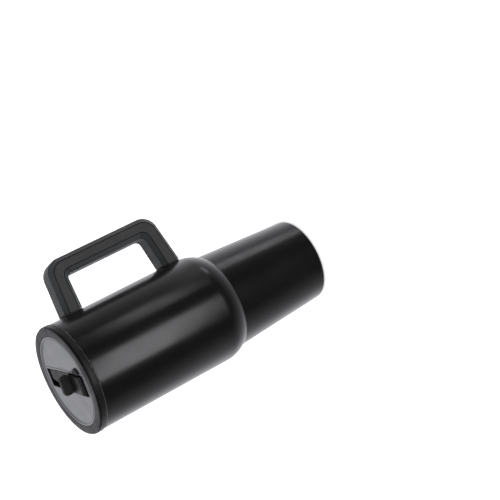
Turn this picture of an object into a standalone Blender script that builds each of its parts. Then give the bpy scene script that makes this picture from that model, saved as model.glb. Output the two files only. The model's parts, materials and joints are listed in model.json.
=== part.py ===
"""Double-wall travel tumbler: narrow base, side handle and a press-in lid with a flip closure.

Lengths are millimetres and are turned into metres where a mesh is made.
World frame: +Z up the cup's axis, the rubber foot rests on Z = 0, the handle is on +X.
Lid frame: the lid's own centre on its face plane, x towards the closure's hinge, z out of the lid.
"""
import math

import bmesh
import bpy
from mathutils import Matrix

MM = 0.001
GAP = 0.3

# Cup body
LID_FACE_Z = 258.5
BODY_R = 50.6
SHELL_WALL = 0.8
VACUUM = 3.2
LINER_WALL = 0.7
SHELL_TOP = 250.4
RIM_TOP = 251.1
SHOULDER_Z = 115.2
SHOULDER_R = 30.0
STEP_R = 44.8
STEP_Z = 97.5
BASE_R = 38.95
BASE_ROUND = 3.0
BASE_LIFT = 0.4
BASE_LIP_R = 33.6
LINER_FLOOR = 5.6
LINER_ROUND = 6.0
LINER_OUT = BODY_R - SHELL_WALL - VACUUM
LINER_IN = LINER_OUT - LINER_WALL
CAP_RISE = 1.9

# Handle: a U of three layers, its legs drawn together towards the grip
HANDLE_W = 24.0
CHAMFER = 4.2
GRIP_X = 90.8
LEG_X = 50.0
LOWER_LEG_Z = 121.5
UPPER_LEG_Z = 224.7
LEG_SLOPE = 0.082
LEG_START_X = 42.0
CORNER_R = 9.75
CORNER_GROWTH = 0.576
SEAM_IN = (-4.1, -4.3)
SEAM_OUT = (4.1, 5.3)
FACE_IN = (-8.3, -8.6)
FACE_OUT = (8.3, 9.5)
PAD_R = BODY_R + GAP
PAD_T = 0.5
LEG_R = PAD_R + PAD_T + GAP
BRACKET_W = 14.0
BRACKET_T = 3.2
BRACKET_END_X = 64.0
SCREW_X = 58.0
SCREW_R = 1.45
SCREW_HEAD_R = 2.6
SCREW_SEAT = 2.9
SCREW_HEAD_H = 1.2

# Lid, in the lid frame
LID_ANGLE = math.radians(-111.3)
LID_R = 50.2
BAND_R = 51.1
FLANGE_Z = RIM_TOP + GAP - LID_FACE_Z
SKIRT_R = 45.0
SKIRT_IN = 43.0
SKIRT_Z = -24.6
RING_IN = 42.7
DISC_R = RING_IN - GAP
DISC_DROP = 0.7
DISC_T = 1.8
LEDGE_IN = 40.8
GROOVE_R = 43.9
GROOVE_H = 3.2
GROOVES = {"gasket_upper": -12.5, "gasket_lower": -18.5}
SLOT_LEFT = -34.5
SLOT_RIGHT = 36.0
SLOT_HALF_LEFT = 7.8
SLOT_HALF_RIGHT = 9.4
SLOT_CORNER = 1.6
BORDER_W = 1.6
BORDER_H = 0.45
WELL_TOP = -2.8
WELL_WALL = 1.7
WELL_EASE = 0.4
WELL_SHELF = -7.0
WELL_FLOOR = -15.2
WELL_BASE = -16.8
WELL_DEEP_X = -13.0
FLOOR_TOP = -21.5
FLOOR_T = 1.8
SIP = (-25.0, 1.6)
SIP_BORE_R = 5.6
SPOUT_R = 4.0

# Flip closure, in the lid frame
HINGE_X = 26.0
HINGE_Z = -5.8
BARREL_R = 8.6
PIN_R = 1.5
PIN_HALF = 11.0
WASHER_R = 2.9
LEVER_EASE = 0.5
ARM_TOP = -1.3
ARM_BOTTOM = -4.2
ARM_END = -32.0
TAB_FRONT = 4.0
TAB_BACK = 8.0
TAB_TOP = 8.7
TAB_HALF = 9.1
TAB_SHIFT = -0.6
TAB_NECK_HALF = 7.4
TAB_CORNER = 3.4
STOPPER_R = 4.9
EAR_X = 26.4
EAR_R = 6.2
EAR_TOP = 0.7

STEPS = 40
FINE = 36
SMALL = 16


# ---------------------------------------------------------------- outlines

def arc(x, y, radius, start, end, count):
    """Points along an arc about (x, y), from start to end degrees, both included."""
    angles = [math.radians(start + (end - start) * i / count) for i in range(count + 1)]
    return [(x + radius * math.cos(a), y + radius * math.sin(a)) for a in angles]


def rounded(corners, radius, count=3):
    """A closed outline through the corners, each replaced by a small arc-like curve."""
    points = []
    for i, (x, y) in enumerate(corners):
        back, ahead = corners[i - 1], corners[(i + 1) % len(corners)]
        ends = []
        for other in (back, ahead):
            length = math.hypot(other[0] - x, other[1] - y)
            reach = min(radius, length / 2) / length
            ends.append((x + (other[0] - x) * reach, y + (other[1] - y) * reach))
        for k in range(count + 1):
            t = k / count
            points.append(tuple((1 - t) ** 2 * a + 2 * t * (1 - t) * c + t * t * b
                                for a, c, b in zip(ends[0], (x, y), ends[1])))
    return points


def base_radius(z):
    """Outer radius of the tapered base at height z."""
    return BASE_R + (STEP_R - BASE_R) * z / STEP_Z


def shoulder(inset, count=5):
    """The rounded shoulder from the upper cylinder to the step, inset from the outer surface."""
    centre, radius = BODY_R - SHOULDER_R, SHOULDER_R - inset
    end = math.degrees(math.acos((STEP_R - inset - centre) / radius))
    return arc(centre, SHOULDER_Z, radius, 0, -end, count)


def foot_round(inset, z, radius, count=3):
    """The rounded edge under the base: an arc that ends on the height z."""
    return arc(base_radius(z + radius) - inset - radius, z + radius, radius, 0, -90, count)


def slot_half(x):
    """Half-width of the lid's slot, which widens a little towards the hinge."""
    share = (x - SLOT_LEFT) / (SLOT_RIGHT - SLOT_LEFT)
    return SLOT_HALF_LEFT + (SLOT_HALF_RIGHT - SLOT_HALF_LEFT) * share


def slot_outline(grow, left=SLOT_LEFT, right=SLOT_RIGHT):
    """The slot's outline, grown outwards on every side."""
    corners = [(left - grow, -slot_half(left) - grow), (right + grow, -slot_half(right) - grow),
               (right + grow, slot_half(right) + grow), (left - grow, slot_half(left) + grow)]
    return rounded(corners, SLOT_CORNER + grow)


def handle_line(offsets, count=6):
    """One line of the U in the handle's plane, from the upper leg's root to the lower one's.

    offsets is the distance outwards from the U's middle line, on the grip and at the legs' roots.
    """
    grip, root = offsets
    x = GRIP_X + grip
    splay = (root - grip) / (GRIP_X - LEG_X)
    radius = CORNER_R + CORNER_GROWTH * grip
    line = []
    for leg_z, side in ((UPPER_LEG_Z, 1), (LOWER_LEG_Z, -1)):
        slope = -side * (LEG_SLOPE + splay)
        corner_z = leg_z + side * root + slope * (x - LEG_X)
        root_z = corner_z + slope * (LEG_START_X - x)
        turn = math.degrees(math.atan(LEG_SLOPE + splay))
        sweep = math.radians(90 - turn)
        reach = radius * math.tan(sweep / 2)
        bend = arc(x - radius, corner_z - side * reach, radius, side * (90 - turn), 0, count)
        leg = [(LEG_START_X, root_z)] + bend
        line += leg if side > 0 else leg[::-1]
    return line


# ---------------------------------------------------------------- making objects

def clear_scene():
    for obj in list(bpy.data.objects):
        bpy.data.objects.remove(obj, do_unlink=True)


def collection(name):
    group = bpy.data.collections.new(name)
    bpy.context.scene.collection.children.link(group)
    return group


def principled(name, colour, roughness, metallic=0.0):
    material = bpy.data.materials.new(name)
    material.use_nodes = True
    shader = material.node_tree.nodes["Principled BSDF"]
    shader.inputs["Base Color"].default_value = (*colour, 1.0)
    shader.inputs["Roughness"].default_value = roughness
    shader.inputs["Metallic"].default_value = metallic
    return material


def add(name, mesh, look, parent=None, matrix=None):
    """Link a mesh as a part with its own material, or as a cutter when look is None."""
    obj = bpy.data.objects.new(name, mesh)
    if look is None:
        cutters.objects.link(obj)
        obj.hide_render = True
        obj.display_type = "WIRE"
    else:
        parts.objects.link(obj)
        mesh.materials.append(principled(name + "_look", *look))
    obj.parent = parent
    if matrix is not None:
        obj.matrix_local = matrix
    return obj


def turned(name, outline, look, parent=None, steps=STEPS, solid=False):
    """A turned piece: a closed outline, or with solid an outline whose two ends are on the axis."""
    mesh = bpy.data.meshes.new(name)
    count = len(outline)
    edges = [(i, (i + 1) % count) for i in range(count - 1 if solid else count)]
    mesh.from_pydata([(r * MM, 0, z * MM) for r, z in outline], edges, [])
    obj = add(name, mesh, look, parent)
    screw = obj.modifiers.new("turn", "SCREW")
    screw.steps = screw.render_steps = steps
    screw.use_merge_vertices = True
    screw.merge_threshold = 0.00001
    return obj


def rod(name, radius, low, high, look, parent=None, matrix=None, segments=2 * SMALL):
    """A cylinder along its own z, from low to high."""
    mesh = bpy.data.meshes.new(name)
    shape = bmesh.new()
    middle = Matrix.Translation((0, 0, (low + high) / 2 * MM))
    bmesh.ops.create_cone(shape, cap_ends=True, segments=segments, radius1=radius * MM,
                          radius2=radius * MM, depth=(high - low) * MM, matrix=middle)
    shape.to_mesh(mesh)
    shape.free()
    mesh.shade_smooth()
    mesh.set_sharp_from_angle(angle=math.radians(40))
    return add(name, mesh, look, parent, matrix)


def block(name, low, high, look, parent=None):
    """A box between two corners."""
    mesh = bpy.data.meshes.new(name)
    shape = bmesh.new()
    size = [(b - a) * MM for a, b in zip(low, high)]
    middle = [(a + b) / 2 * MM for a, b in zip(low, high)]
    matrix = Matrix.Translation(middle) @ Matrix.Diagonal((*size, 1))
    bmesh.ops.create_cube(shape, size=1, matrix=matrix)
    shape.to_mesh(mesh)
    shape.free()
    return add(name, mesh, look, parent)


def prism(name, outline, low, high, look, parent=None, matrix=None):
    """A flat outline in its own x and y, thick from low to high along its own z."""
    curve = bpy.data.curves.new(name, "CURVE")
    curve.dimensions = "2D"
    curve.fill_mode = "BOTH"
    curve.extrude = (high - low) / 2 * MM
    spline = curve.splines.new("POLY")
    spline.points.add(len(outline) - 1)
    spline.use_cyclic_u = True
    for point, (x, y) in zip(spline.points, outline):
        point.co = (x * MM, y * MM, 0, 1)
    drawn = bpy.data.objects.new(name, curve)
    bpy.context.scene.collection.objects.link(drawn)
    graph = bpy.context.evaluated_depsgraph_get()
    mesh = bpy.data.meshes.new_from_object(drawn.evaluated_get(graph))
    bpy.data.objects.remove(drawn, do_unlink=True)
    bpy.data.curves.remove(curve)
    mesh.name = name
    mesh.transform(Matrix.Translation((0, 0, (low + high) / 2 * MM)))
    shape = bmesh.new()
    shape.from_mesh(mesh)
    bmesh.ops.remove_doubles(shape, verts=shape.verts, dist=0.000001)
    bmesh.ops.recalc_face_normals(shape, faces=shape.faces)
    shape.to_mesh(mesh)
    shape.free()
    return add(name, mesh, look, parent, matrix)


def layer(name, near, far, half_near, half_far, look):
    """One layer of the handle: a loft between two lines of the U, each with its own half-width."""
    mesh = bpy.data.meshes.new(name)
    shape = bmesh.new()
    sections = []
    for (x0, z0), (x1, z1) in zip(near, far):
        corners = [(x0, -half_near, z0), (x0, half_near, z0), (x1, half_far, z1), (x1, -half_far, z1)]
        sections.append([shape.verts.new([value * MM for value in corner]) for corner in corners])
    for here, there in zip(sections, sections[1:]):
        for k in range(4):
            shape.faces.new((here[k], here[(k + 1) % 4], there[(k + 1) % 4], there[k]))
    shape.faces.new(sections[0][::-1])
    shape.faces.new(sections[-1])
    bmesh.ops.recalc_face_normals(shape, faces=shape.faces)
    shape.to_mesh(mesh)
    shape.free()
    return add(name, mesh, look)


def combine(obj, tool, operation="DIFFERENCE"):
    boolean = obj.modifiers.new(tool.name, "BOOLEAN")
    boolean.operation = operation
    boolean.solver = "EXACT"
    boolean.object = tool


def soften(obj, width, segments=2):
    bevel = obj.modifiers.new("soften", "BEVEL")
    bevel.width = width * MM
    bevel.segments = segments
    bevel.limit_method = "ANGLE"
    bevel.angle_limit = math.radians(40)


def frame_at(name, location, rotation=(0, 0, 0), parent=None):
    """An empty that carries the pieces of one joint or one leg."""
    empty = bpy.data.objects.new(name, None)
    parts.objects.link(empty)
    empty.location = [value * MM for value in location]
    empty.rotation_euler = rotation
    empty.parent = parent
    return empty


# ---------------------------------------------------------------- looks: colour, roughness, metallic

COAT = ((0.004, 0.004, 0.0042), 0.25, 0.0)
STEEL = ((0.62, 0.62, 0.60), 0.28, 1.0)
RAW_STEEL = ((0.45, 0.45, 0.44), 0.4, 1.0)
HANDLE_CORE = ((0.020, 0.021, 0.022), 0.55, 0.0)
HANDLE_SKIN = ((0.022, 0.024, 0.025), 0.6, 0.0)
RUBBER = ((0.010, 0.010, 0.010), 0.72, 0.0)
LID_BLACK = ((0.006, 0.006, 0.0066), 0.45, 0.0)
LID_GREY = ((0.13, 0.132, 0.14), 0.35, 0.0)
LEVER_BLACK = ((0.006, 0.006, 0.0065), 0.38, 0.0)
SILICONE = ((0.30, 0.30, 0.30), 0.5, 0.0)
NYLON = ((0.55, 0.54, 0.50), 0.45, 0.0)


# ---------------------------------------------------------------- cup

def outer_shell():
    top, inner = SHELL_TOP, BODY_R - SHELL_WALL
    outside = [(BODY_R, top)] + shoulder(0) + foot_round(0, BASE_LIFT, BASE_ROUND)
    inside = [(inner, top)] + shoulder(SHELL_WALL)
    inside += foot_round(SHELL_WALL, BASE_LIFT + SHELL_WALL, BASE_ROUND - SHELL_WALL)
    lip = [(BASE_LIP_R, BASE_LIFT), (BASE_LIP_R, BASE_LIFT + SHELL_WALL)]
    turned("outer_shell", outside + lip + inside[::-1], COAT)


def inner_liner():
    top = RIM_TOP - 2.5
    inset = BODY_R - LINER_OUT
    outside = [(LINER_OUT, top)] + shoulder(inset)
    outside += foot_round(inset, LINER_FLOOR, LINER_ROUND) + [(0, LINER_FLOOR)]
    inset += LINER_WALL
    inside = [(LINER_IN, top)] + shoulder(inset)
    floor = LINER_FLOOR + LINER_WALL
    inside += foot_round(inset, floor, LINER_ROUND - LINER_WALL) + [(0, floor)]
    turned("inner_liner", inside[::-1] + outside, STEEL, steps=FINE, solid=True)


def rim_ring():
    """The rolled steel lip that joins the liner to the shell."""
    edge, spigot = 0.5, 246.0
    outside = BODY_R - 0.1
    outline = arc(outside - edge / 2, RIM_TOP - edge / 2, edge / 2, 90, 0, 2)
    outline += [(outside, SHELL_TOP + GAP), (BODY_R - SHELL_WALL - GAP, SHELL_TOP + GAP),
                (BODY_R - SHELL_WALL - GAP, spigot), (LINER_OUT + GAP, spigot),
                (LINER_OUT + GAP, RIM_TOP - 2.5 + GAP), (LINER_IN, RIM_TOP - 2.5 + GAP)]
    outline += arc(LINER_IN + edge, RIM_TOP - edge, edge, 180, 90, 2)
    turned("rim_ring", outline, STEEL)


def base_cap():
    """The pressed steel disc that closes the shell from below, with its evacuation hole."""
    low, edge, hole = BASE_LIFT + GAP, BASE_LIP_R - GAP, 1.3
    high = low + SHELL_WALL
    outline = [(edge, high), (edge, low), (edge - 2.0, low), (edge - 4.0, low + CAP_RISE),
               (hole, low + CAP_RISE), (hole, high + CAP_RISE), (edge - 4.4, high + CAP_RISE),
               (edge - 2.4, high)]
    turned("base_cap", outline, COAT, steps=FINE)


def base_fittings():
    """The foot under the base cap, the bead that seals the vacuum and the getter above it."""
    edge, pocket = BASE_LIP_R - 2 * GAP, 6.0
    crown = BASE_LIFT + CAP_RISE
    outline = [(0, 1.0), (pocket, 1.0), (pocket, crown), (edge - 4.0, crown),
               (edge - 2.0, BASE_LIFT), (edge, BASE_LIFT), (edge, 0.15), (edge - 0.4, 0), (0, 0)]
    turned("foot_pad", outline, RUBBER, steps=FINE, solid=True)
    bead = [(0, crown)] + arc(0, crown, 2.4, 0, -24, 2) + [(1.2, 1.35), (0, 1.3)]
    turned("seal_bead", bead, RAW_STEEL, steps=SMALL, solid=True)
    low = BASE_LIFT + CAP_RISE + GAP + SHELL_WALL + GAP
    rod("getter", 4.5, low, low + 1.1, RAW_STEEL, matrix=Matrix.Translation((0.016, 0, 0)))


# ---------------------------------------------------------------- handle

def handle():
    """The three layers of the U, their leg pads, and the brackets and screws inside the legs."""
    half, face = HANDLE_W / 2, HANDLE_W / 2 - CHAMFER
    ease = GAP / 2
    core = layer("handle_core", handle_line((SEAM_IN[0] + ease, SEAM_IN[1] + ease)),
                 handle_line((SEAM_OUT[0] - ease, SEAM_OUT[1] - ease)), half, half, HANDLE_CORE)
    inner = layer("handle_inner", handle_line((SEAM_IN[0] - ease, SEAM_IN[1] - ease)),
                  handle_line(FACE_IN), half, face, HANDLE_SKIN)
    outer = layer("handle_outer", handle_line((SEAM_OUT[0] + ease, SEAM_OUT[1] + ease)),
                  handle_line(FACE_OUT), half, face, HANDLE_SKIN)
    saddle = rod("saddle_cutter", LEG_R, 60, 280, None, segments=96)
    for piece in (core, inner, outer):
        combine(piece, saddle)
    for side, leg_z, turn in (("lower", LOWER_LEG_Z, 0), ("upper", UPPER_LEG_Z, math.pi)):
        leg(side, leg_z, turn, core)


def leg(side, leg_z, turn, core):
    """Fittings of one leg, in a frame at its root: x along the leg, z towards the finger gap."""
    tilt = -math.atan(LEG_SLOPE)
    if turn:
        tilt = -tilt
    root = frame_at(side + "_leg", (LEG_X, 0, leg_z), (turn, tilt, 0))
    wide = BRACKET_W / 2
    thick = BRACKET_T / 2
    reach = BRACKET_END_X - LEG_X
    weld_face = rod(side + "_weld_cutter", PAD_R, 60, 280, None, segments=96)
    bracket = block("bracket_" + side, (-8, -wide, -thick), (reach, wide, thick), RAW_STEEL, root)
    pocket = block(side + "_pocket_cutter", (-12, -wide - GAP, -thick - GAP),
                   (reach + GAP, wide + GAP, thick + GAP), None, root)
    at_screw = Matrix.Translation(((SCREW_X - LEG_X) * MM, 0, 0))
    shank_hole = rod(side + "_shank_cutter", SCREW_R + GAP, -2.6, 6, None, root, at_screw)
    head_hole = rod(side + "_head_cutter", SCREW_HEAD_R + GAP, SCREW_SEAT - GAP, 6, None, root, at_screw)
    combine(bracket, weld_face)
    combine(bracket, shank_hole)
    for tool in (pocket, shank_hole, head_hole):
        combine(core, tool)

    tip, top = -1.5, SCREW_SEAT + SCREW_HEAD_H
    socket, depth = 1.0, 0.7
    outline = [(0, top - depth), (socket, top - depth), (socket, top), (SCREW_HEAD_R, top),
               (SCREW_HEAD_R, SCREW_SEAT), (SCREW_R, SCREW_SEAT), (SCREW_R, tip + 0.5),
               (SCREW_R - 0.5, tip), (0, tip)]
    screw = turned("screw_" + side, outline, RAW_STEEL, root, steps=SMALL, solid=True)
    screw.location.x = (SCREW_X - LEG_X) * MM

    half, low, high = HANDLE_W / 2, -FACE_OUT[1], -FACE_IN[1]
    corners = [(low, -half + CHAMFER), (low + CHAMFER, -half), (high - CHAMFER, -half),
               (high, -half + CHAMFER), (high, half - CHAMFER), (high - CHAMFER, half),
               (low + CHAMFER, half), (low, half - CHAMFER)]
    along_leg = Matrix.Rotation(-math.pi / 2, 4, "Y")
    pad = prism("leg_pad_" + side, [(z, y) for z, y in corners], -8, 8, RUBBER, root, along_leg)
    outside = rod(side + "_pad_cutter", PAD_R + PAD_T, 60, 280, None, segments=96)
    combine(pad, outside, "INTERSECT")
    combine(pad, weld_face)
    combine(pad, pocket)


# ---------------------------------------------------------------- lid

def lid_ring(parent):
    """The lid's collar: chamfered face, notch, side band and the skirt that enters the mouth."""
    outline = [(RING_IN, -0.25), (RING_IN + 0.25, 0), (LID_R - 0.3, 0), (LID_R, -0.3), (LID_R, -0.7),
               (LID_R - 0.4, -0.8), (LID_R - 0.4, -1.1), (BAND_R - 0.7, -1.2), (BAND_R, -2.0),
               (BAND_R, FLANGE_Z + 0.8), (BAND_R - 0.8, FLANGE_Z), (SKIRT_R, FLANGE_Z)]
    for middle in GROOVES.values():
        high, low = middle + GROOVE_H / 2, middle - GROOVE_H / 2
        outline += [(SKIRT_R, high), (GROOVE_R, high), (GROOVE_R, low), (SKIRT_R, low)]
    outline += [(SKIRT_R, SKIRT_Z + 0.8), (SKIRT_R - 0.8, SKIRT_Z), (SKIRT_IN - 1.4, SKIRT_Z),
                (SKIRT_IN - 1.4, FLOOR_TOP - FLOOR_T - GAP), (SKIRT_IN, FLOOR_TOP - FLOOR_T - GAP),
                (SKIRT_IN, -4.6), (LEDGE_IN, -4.6), (LEDGE_IN, -DISC_DROP - DISC_T - GAP),
                (RING_IN, -DISC_DROP - DISC_T - GAP)]
    turned("lid_ring", outline, LID_BLACK, parent)


def lid_disc(parent):
    """The lid's grey face: a stepped rim, a flat centre and a raised border round the slot."""
    flat, base = -DISC_DROP, -DISC_DROP - DISC_T
    outline = [(0, flat), (38.7, flat), (40.1, -0.1), (40.3, -0.5), (40.8, -0.5), (41.0, 0),
               (DISC_R - 0.3, 0), (DISC_R, -0.3), (DISC_R, base), (0, base)]
    disc = turned("lid_disc", outline, LID_GREY, parent, steps=FINE, solid=True)
    border = prism("slot_border_tool", slot_outline(BORDER_W), base + 0.5, flat + BORDER_H, None, parent)
    slot = prism("slot_cutter", slot_outline(0), -10, 10, None, parent)
    ear = rod("ear_cutter", EAR_R + GAP, -10, 10, None, parent, ear_place(), FINE)
    combine(disc, border, "UNION")
    combine(disc, slot)
    combine(disc, ear)


def ear_place():
    return Matrix.Translation((EAR_X * MM, slot_half(EAR_X) * MM, 0))


def slot_well(parent):
    """The black tray under the slot: a shelf with the sip bore, and a deep part for the barrel."""
    under_flange = WELL_TOP - 0.7
    well = prism("slot_well", slot_outline(WELL_EASE + WELL_WALL), WELL_BASE, under_flange, LID_BLACK, parent)
    flange = prism("flange_tool", slot_outline(3.4), WELL_TOP - 1.4, WELL_TOP, None, parent)
    limit = rod("well_limit", LEDGE_IN - 2 * GAP, WELL_BASE - 5, WELL_TOP + 5, None, parent, segments=FINE)
    shallow = prism("shelf_cutter", slot_outline(WELL_EASE), WELL_SHELF, 5, None, parent)
    deep = prism("deep_cutter", slot_outline(WELL_EASE, left=WELL_DEEP_X), WELL_FLOOR, 5, None, parent)
    bore = rod("sip_cutter", SIP_BORE_R, -40, 5, None, parent, sip_place())
    pin_bore = rod("pin_bore_cutter", PIN_R + 0.05, -20, 20, None, parent, pin_place())
    vent = rod("well_vent_cutter", 1.2, -40, 5, None, parent, Matrix.Translation((0.004, 0, 0)))
    combine(well, flange, "UNION")
    combine(well, limit, "INTERSECT")
    for tool in (shallow, deep, bore, pin_bore, vent):
        combine(well, tool)


def sip_place():
    return Matrix.Translation((SIP[0] * MM, SIP[1] * MM, 0))


def pin_place():
    """The hinge pin's own z lies along the lid's y, through the hinge axis."""
    move = Matrix.Translation((HINGE_X * MM, 0, HINGE_Z * MM))
    return move @ Matrix.Rotation(math.pi / 2, 4, "X")


def lid_inside(parent):
    """The floor of the lid with its grommet and vent, and the two seals round the skirt."""
    base = FLOOR_TOP - FLOOR_T
    edge = SKIRT_IN - GAP
    outline = [(0, FLOOR_TOP), (edge, FLOOR_TOP), (edge, base), (0, base)]
    floor = turned("lid_floor", outline, LID_BLACK, parent, steps=FINE, solid=True)
    sip_hole = rod("floor_sip_cutter", SIP_BORE_R, -40, -18, None, parent, sip_place())
    vent_place = Matrix.Translation((0.012, -0.018, 0))
    vent_hole = rod("floor_vent_cutter", 1.5, -40, -18, None, parent, vent_place)
    combine(floor, sip_hole)
    combine(floor, vent_hole)

    outer, collar = SIP_BORE_R - GAP, SIP_BORE_R + 1.2
    top, under_well = WELL_SHELF - 0.6, WELL_BASE - GAP
    outline = [(outer, top), (outer, under_well), (collar, under_well), (collar, under_well - 1.2),
               (outer, under_well - 1.2), (outer, base - 1.0), (SPOUT_R, base - 1.0), (SPOUT_R, top)]
    grommet = turned("drink_grommet", outline, SILICONE, parent, steps=SMALL)
    grommet.location = sip_place().translation

    outline = [(0, FLOOR_TOP + 1.2), (2.1, FLOOR_TOP + 1.2), (2.1, FLOOR_TOP + GAP),
               (1.2, FLOOR_TOP + GAP), (1.2, base - GAP), (3.0, base - GAP), (2.6, base - 1.1),
               (0, base - 1.3)]
    vent = turned("vent_valve", outline, SILICONE, parent, steps=SMALL, solid=True)
    vent.location = vent_place.translation

    lip, root, tall = LINER_IN - 0.35, GROOVE_R + GAP, GROOVE_H / 2 - GAP
    for name, middle in GROOVES.items():
        outline = [(root, middle + tall), (SKIRT_R + 0.2, middle + tall), (lip, middle + 0.5),
                   (lip, middle - 0.1), (SKIRT_R + 0.2, middle - tall), (root, middle - tall)]
        turned(name, outline, SILICONE, parent, steps=FINE)


def hinge_fittings(parent):
    """The steel pin, its two washers and the ear-shaped cover over the pin's end."""
    rod("hinge_pin", PIN_R, -PIN_HALF, PIN_HALF, STEEL, parent, pin_place())
    gap_in, gap_out = slot_half(HINGE_X) - LEVER_EASE + GAP, slot_half(HINGE_X) + WELL_EASE - GAP
    outline = [(WASHER_R, gap_out), (WASHER_R, gap_in), (PIN_R + 0.1, gap_in), (PIN_R + 0.1, gap_out)]
    for name, flip in (("washer_front", 0), ("washer_back", math.pi)):
        washer = turned(name, outline, NYLON, parent, steps=SMALL)
        washer.matrix_local = pin_place() @ Matrix.Rotation(flip, 4, "X")
    ear = arc(EAR_X, slot_half(EAR_X) + GAP, EAR_R, 0, 180, 12)
    cover = prism("pin_cover", ear, WELL_TOP + GAP, EAR_TOP, LID_BLACK, parent)
    soften(cover, 0.9)


# ---------------------------------------------------------------- flip closure

def from_hinge(points):
    """Points of the closure's side outline, measured from the hinge axis."""
    return [(x - HINGE_X, z - HINGE_Z) for x, z in points]


def flip_lever(parent):
    """Arm, raised top and barrel in one piece, narrowed in plan so that it clears the slot."""
    crease = TAB_BACK + 0.5
    hump = [(crease, 0.3), (14.0, 0.8), (20.0, 1.4), (26.0, 2.0), (30.0, 2.0), (33.0, 0.8), (34.4, -1.7)]
    barrel = arc(HINGE_X, HINGE_Z, BARREL_R, 5, -35, 6)
    side = [(ARM_END, ARM_TOP), (crease, ARM_TOP)] + hump + barrel
    side += [(HINGE_X - 4.0, HINGE_Z - 5.2), (14.0, -6.4), (8.0, ARM_BOTTOM), (ARM_END, ARM_BOTTOM)]
    upright = Matrix.Rotation(math.pi / 2, 4, "X")
    wide = slot_half(HINGE_X) - LEVER_EASE
    lever = prism("flip_lever", from_hinge(side), -wide, wide, LEVER_BLACK, parent, upright)
    right = SLOT_RIGHT
    narrow = slot_half(ARM_END) - LEVER_EASE
    plan = [(ARM_END, -2.0), (-6.0, -slot_half(-6.0) + LEVER_EASE), (right, -wide), (right, wide),
            (TAB_FRONT, slot_half(TAB_FRONT) - LEVER_EASE), (ARM_END + 1.5, narrow), (ARM_END, narrow - 1.5)]
    plan = [(x - HINGE_X, y) for x, y in plan]
    limit = prism("lever_plan_tool", plan, -30, 30, None, parent)
    bore = rod("lever_bore_cutter", PIN_R + 0.06, -20, 20, None, parent, upright)
    combine(lever, limit, "INTERSECT")
    combine(lever, bore)


def thumb_tab(parent):
    """The upright rubber tab that the thumb lifts."""
    neck, base, corner = TAB_NECK_HALF, ARM_TOP + GAP, TAB_CORNER
    face = [(-neck, base), (neck, base), (neck, 0.4), (TAB_HALF, 1.1)]
    face += arc(TAB_HALF - corner, TAB_TOP - corner, corner, 0, 90, 5)
    face += arc(corner - TAB_HALF, TAB_TOP - corner, corner, 90, 180, 5)
    face += [(-TAB_HALF, 1.1), (-neck, 0.4)]
    face = [(y + TAB_SHIFT, z - HINGE_Z) for y, z in face]
    turn = Matrix.Rotation(math.pi / 2, 4, "Z") @ Matrix.Rotation(math.pi / 2, 4, "X")
    low, high = TAB_FRONT - HINGE_X, TAB_BACK - HINGE_X
    tab = prism("thumb_tab", face, low, high, RUBBER, parent, turn)
    soften(tab, 1.1)


def lever_stopper(parent):
    """The silicone plug under the arm's end, seated in the grommet."""
    top, seat, tip = ARM_BOTTOM - GAP, WELL_SHELF + 0.6, WELL_SHELF - 3.4
    outline = [(0, top), (STOPPER_R, top), (STOPPER_R, seat), (SPOUT_R - 0.4, seat), (SPOUT_R - 0.4, tip + 1.2),
               (SPOUT_R - 1.2, tip), (0, tip)]
    stopper = turned("lever_stopper", outline, RUBBER, parent, steps=SMALL, solid=True)
    stopper.location = sip_place().translation - hinge_place()


def hinge_place():
    return Matrix.Translation((HINGE_X * MM, 0, HINGE_Z * MM)).translation


clear_scene()
parts = collection("travel_tumbler")
cutters = collection("cutters")

outer_shell()
inner_liner()
rim_ring()
base_cap()
base_fittings()
handle()

lid_axis = frame_at("lid_axis", (0, 0, LID_FACE_Z), (0, 0, LID_ANGLE))
lid_ring(lid_axis)
lid_disc(lid_axis)
slot_well(lid_axis)
lid_inside(lid_axis)
hinge_fittings(lid_axis)

hinge_axis = frame_at("hinge_axis", (HINGE_X, 0, HINGE_Z), parent=lid_axis)
flip_lever(hinge_axis)
thumb_tab(hinge_axis)
lever_stopper(hinge_axis)
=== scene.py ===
"""Looks for the travel tumbler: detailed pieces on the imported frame, materials, light and camera.

Lengths are millimetres and are turned into metres where a mesh is made.
Row frame: +Z up the cup's axis, the foot on Z = 0, the handle on +X.
Lid frame: the lid's centre on its face plane, x towards the closure's hinge, z out of the lid.
"""
import json
import math

import bmesh
import bpy
from mathutils import Matrix, Vector

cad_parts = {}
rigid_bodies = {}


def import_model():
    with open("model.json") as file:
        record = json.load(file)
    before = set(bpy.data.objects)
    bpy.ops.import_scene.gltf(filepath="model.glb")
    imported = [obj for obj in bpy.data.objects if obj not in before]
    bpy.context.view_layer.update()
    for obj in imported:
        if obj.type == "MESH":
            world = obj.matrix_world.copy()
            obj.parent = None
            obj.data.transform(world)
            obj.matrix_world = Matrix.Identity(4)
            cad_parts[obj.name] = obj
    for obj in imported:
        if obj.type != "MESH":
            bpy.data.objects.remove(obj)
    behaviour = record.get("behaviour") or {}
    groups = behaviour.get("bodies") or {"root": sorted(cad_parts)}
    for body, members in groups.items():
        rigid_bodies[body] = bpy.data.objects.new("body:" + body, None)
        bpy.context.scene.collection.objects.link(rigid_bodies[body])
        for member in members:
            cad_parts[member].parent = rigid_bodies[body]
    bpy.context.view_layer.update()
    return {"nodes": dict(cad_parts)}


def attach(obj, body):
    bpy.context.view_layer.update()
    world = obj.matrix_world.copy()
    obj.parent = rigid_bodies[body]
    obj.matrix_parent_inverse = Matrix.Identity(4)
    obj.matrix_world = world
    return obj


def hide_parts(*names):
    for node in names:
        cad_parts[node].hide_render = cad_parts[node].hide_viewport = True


MM = 0.001
MERGE = 0.002 * MM      # vertices closer than this become one
GAP = 0.3               # clearance between neighbouring pieces
CUT_REACH = 40.0        # cutters that go right through reach this far both ways

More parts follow.
